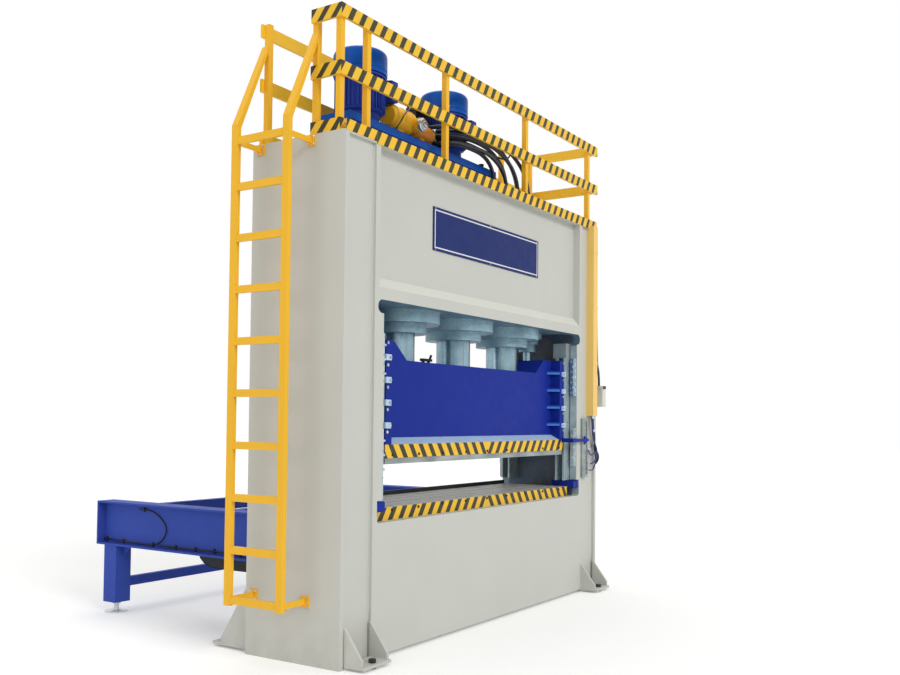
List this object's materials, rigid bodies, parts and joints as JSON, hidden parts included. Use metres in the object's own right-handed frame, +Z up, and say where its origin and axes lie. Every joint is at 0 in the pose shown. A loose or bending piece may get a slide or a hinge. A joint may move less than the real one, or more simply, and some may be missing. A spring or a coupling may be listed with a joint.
{
  "type": "hydraulic press",
  "caption": "Wide box-frame hydraulic press with a guided blue ram, rolling bolster and rear table, deck guard rails, side ladder and power unit on the crown.",
  "frame": {"origin": "centre of the bed underside, on the floor", "axes": "+Z up; +X along the front towards the scale and duct column; +Y to the back, where the rear table is"},
  "size_m": [5.135, 3.7, 5.215],
  "materials": {
    "frame_paint": "satin warm light grey paint",
    "blue_paint": "gloss ultramarine paint",
    "hazard_paint": "safety yellow with dark slanted stripes",
    "yellow_paint": "gloss safety yellow paint",
    "machined_steel": "machined steel",
    "dark_steel": "dark worked steel",
    "plunger_chrome": "ground hard chrome",
    "bright_fastener": "plated fasteners",
    "tank_paint": "gloss bright blue enamel",
    "black_casting": "black coated casting",
    "orange_paint": "orange enamel",
    "rubber_black": "black hose and cable cover",
    "beige_plastic": "beige housing"
  },
  "bodies": {
    "frame": {"bed_bottom": "frame_paint", "bed_top": "frame_paint", "box_ribs": "frame_paint", "cable_duct": "yellow_paint", "cable_reel": "black_casting", "column_left": "frame_paint", "column_right": "frame_paint", "control_cables": "rubber_black", "crown_deck": "frame_paint", "crown_faces": "frame_paint", "crown_floor": "frame_paint", "drag_chain": "black_casting", "face_frame_front": "frame_paint", "face_frame_rear": "frame_paint", "fan_cowls": "tank_paint", "feet": "frame_paint", "gib_bolts": "bright_fastener", "gib_rails": "machined_steel", "guard_posts": "yellow_paint", "guard_rails": "hazard_paint", "hose_fittings": "bright_fastener", "inner_walls": "frame_paint", "ladder_rungs": "yellow_paint", "ladder_stiles": "yellow_paint", "levelling_feet": "bright_fastener", "levelling_screws": "dark_steel", "main_cylinders": "dark_steel", "motors": "tank_paint", "nameplate": "blue_paint", "oil_tank": "tank_paint", "pressure_filter": "yellow_paint", "pressure_hoses": "rubber_black", "return_cylinders": "dark_steel", "return_filter": "orange_paint", "scale_rail": "machined_steel", "solenoid_valves": "black_casting", "switch_box": "beige_plastic", "table_beams": "blue_paint", "table_legs": "blue_paint", "table_ties": "blue_paint", "tank_cover": "tank_paint", "terminal_boxes": "tank_paint", "toe_boards": "hazard_paint", "valve_manifold": "machined_steel"},
    "ram": {"ram_body": "blue_paint", "ram_end_plates": "blue_paint", "ram_gussets": "blue_paint", "ram_ledges": "blue_paint", "ram_base_plate": "hazard_paint", "upper_platen": "machined_steel", "guide_shoes": "machined_steel", "shoe_screws": "bright_fastener", "main_plungers": "plunger_chrome", "return_rods": "plunger_chrome", "position_arm": "blue_paint"},
    "bolster": {"bolster_plate": "machined_steel", "bolster_rear_bar": "dark_steel", "bolster_end_blocks": "blue_paint"},
    "fan_left": {"cooling_fan_left": "black_casting"},
    "fan_right": {"cooling_fan_right": "black_casting"}
  },
  "joints": [
    {"name": "ram_slide", "type": "slide", "parent": "frame", "child": "ram", "axis": [0, 0, 1], "range_m": [-0.34, 0.08]},
    {"name": "bolster_slide", "type": "slide", "parent": "frame", "child": "bolster", "axis": [0, 1, 0], "range_m": [0, 1.75]},
    {"name": "fan_left_spin", "type": "hinge", "parent": "frame", "child": "fan_left", "pos_m": [-1.55, 0, 5], "axis": [0, 0, 1], "continuous": true},
    {"name": "fan_right_spin", "type": "hinge", "parent": "frame", "child": "fan_right", "pos_m": [-0.21, 0, 5], "axis": [0, 0, 1], "continuous": true}
  ]
}
